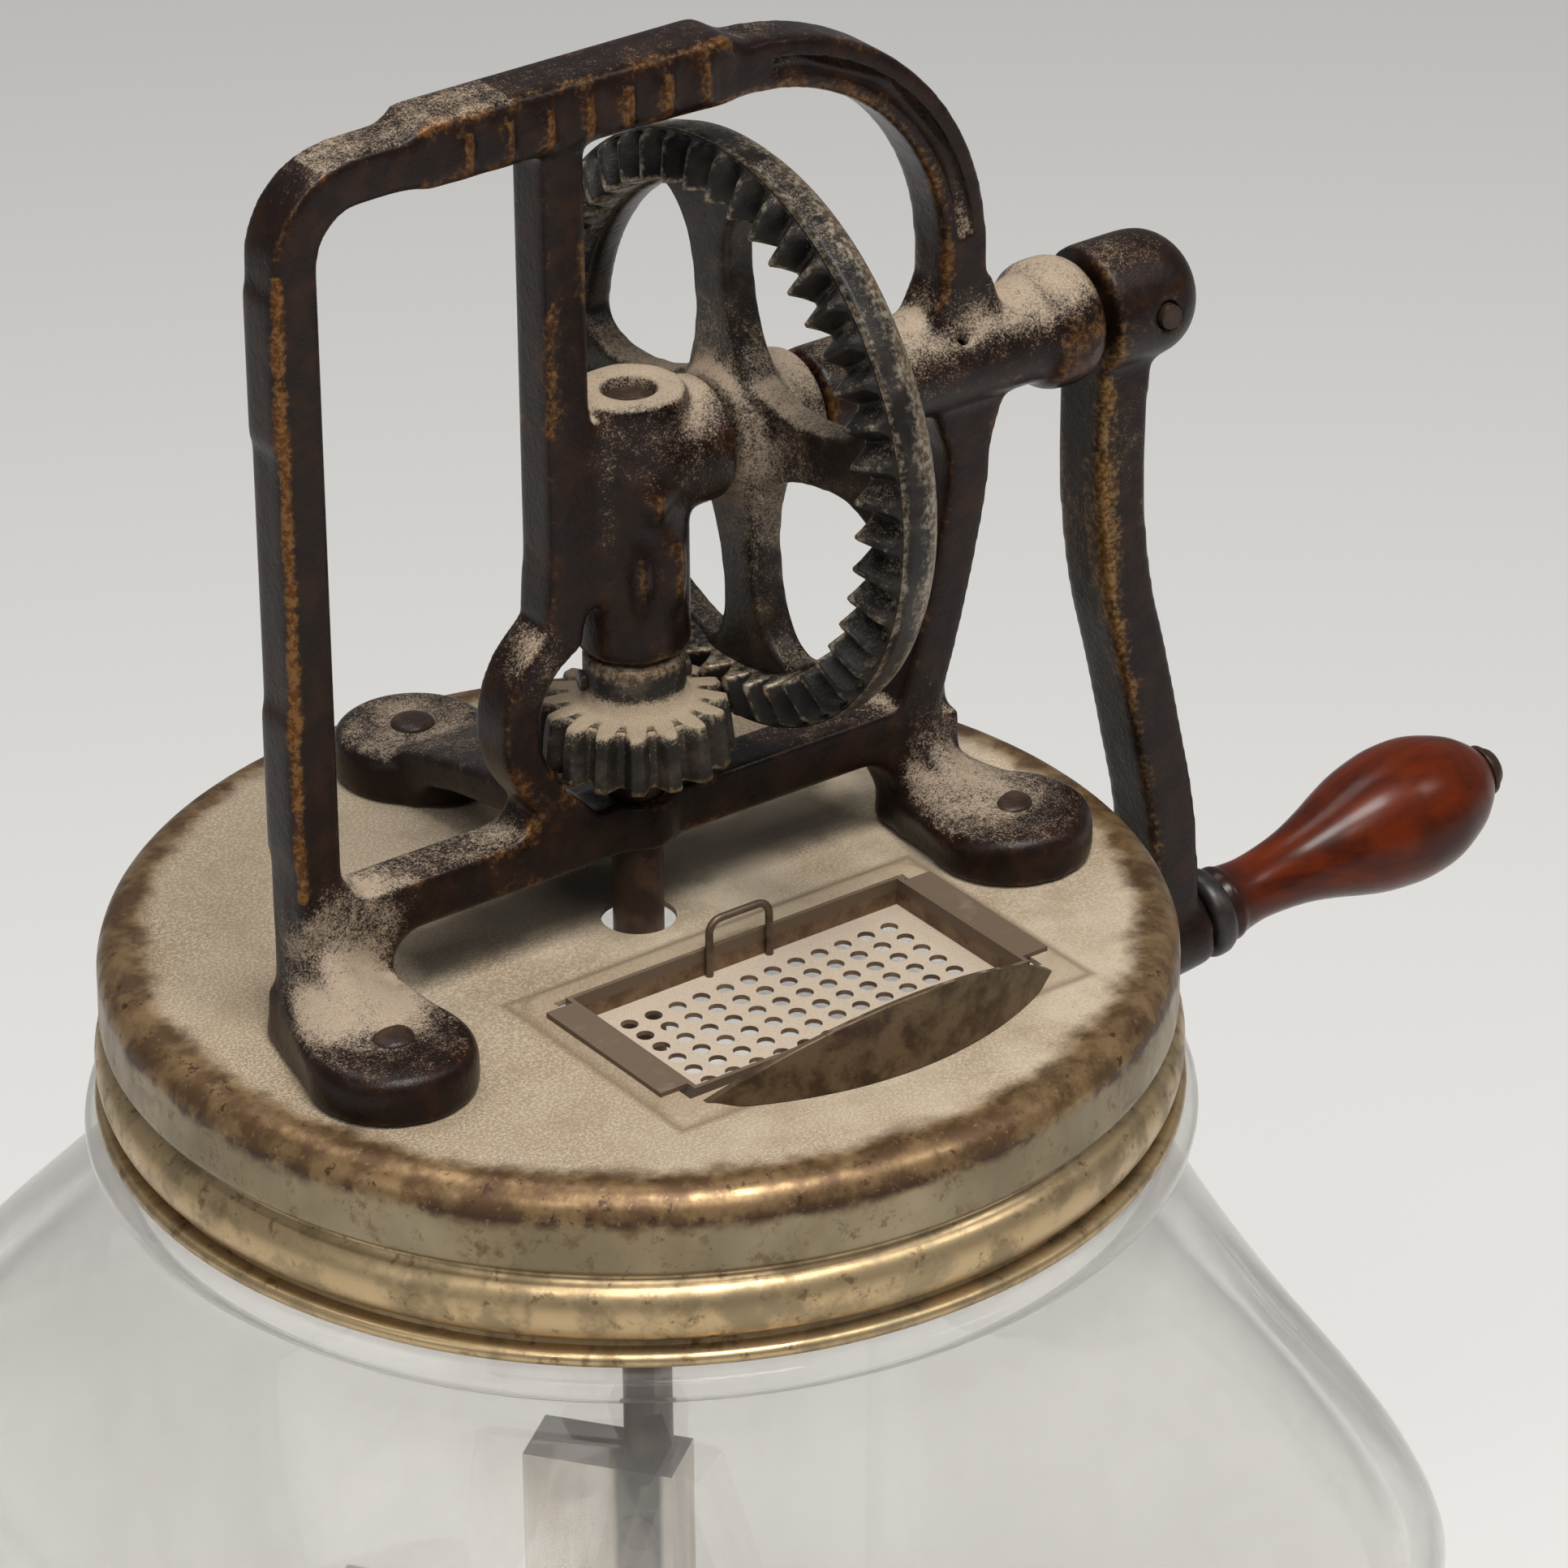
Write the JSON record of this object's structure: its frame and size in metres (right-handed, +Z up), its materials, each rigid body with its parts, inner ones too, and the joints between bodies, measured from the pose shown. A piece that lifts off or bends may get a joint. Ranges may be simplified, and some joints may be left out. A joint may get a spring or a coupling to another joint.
{
  "type": "butter churn",
  "caption": "Hand-cranked table butter churn: square glass jar, screwed tin lid with strainer and pour lip, cast gear frame with bevel gears, side crank and wooden dasher.",
  "frame": {"origin": "centre of the jar's flat base, on the table", "axes": "+Z up along the dasher rod, +X along the crank shaft towards the grip, -Y towards the pour lip and strainer"},
  "size_m": [0.2219, 0.164, 0.3398],
  "materials": {
    "glass": "clear, slightly grey",
    "tin": "tarnished and dusty sheet",
    "pour_tin": "dark tarnished sheet",
    "strainer_tin": "tarnished sheet with rusty edges",
    "wire": "tarnished wire",
    "iron_frame": "worn dark brown casting",
    "iron_wheel": "worn dark brown casting, bright tooth edges",
    "iron_arm": "worn dark brown casting",
    "steel": "dull steel",
    "rivet": "rusty steel",
    "ferrule": "black",
    "grip_wood": "dark red polished",
    "dasher_wood": "pale soaked wood"
  },
  "bodies": {
    "jar": {"glass_jar": "glass"},
    "lid": {"lid_cap": "tin", "pour_lip": "pour_tin", "gear_frame": "iron_frame", "frame_rivets": "rivet"},
    "strainer": {"strainer_tray": "strainer_tin", "strainer_bail": "wire"},
    "crank": {"crank_shaft": "steel", "drive_gear": "iron_wheel", "gear_pin": "rivet", "crank_arm": "iron_arm", "crank_pin": "rivet", "grip_spindle": "steel", "grip_washer": "steel"},
    "grip": {"wood_grip": "grip_wood", "grip_ferrule": "ferrule"},
    "dasher": {"pinion_gear": "iron_wheel", "pinion_pin": "rivet", "dasher_rod": "steel", "dasher_stem": "dasher_wood", "dasher_blade_1": "dasher_wood", "dasher_blade_2": "dasher_wood", "dasher_blade_3": "dasher_wood", "dasher_blade_4": "dasher_wood", "dasher_rivets": "rivet"}
  },
  "joints": [
    {"name": "lid_lift", "type": "slide", "parent": "jar", "child": "lid", "axis": [0, 0, 1], "range_m": [0, 0.2]},
    {"name": "strainer_lift", "type": "slide", "parent": "lid", "child": "strainer", "axis": [0, 0, 1], "range_m": [0, 0.014]},
    {"name": "crank_turn", "type": "hinge", "parent": "lid", "child": "crank", "pos_m": [0.04, 0, 0.2875], "axis": [1, 0, 0], "continuous": true},
    {"name": "dasher_turn", "type": "hinge", "parent": "lid", "child": "dasher", "pos_m": [0, 0, 0.225], "axis": [0, 0, 1], "continuous": true},
    {"name": "grip_turn", "type": "hinge", "parent": "crank", "child": "grip", "pos_m": [0.0882, 0, 0.1945], "axis": [0.9936, 0, 0.1132], "continuous": true}
  ],
  "couplings": [
    {"joint": "dasher_turn", "follows": "crank_turn", "ratio": 2.8125}
  ]
}
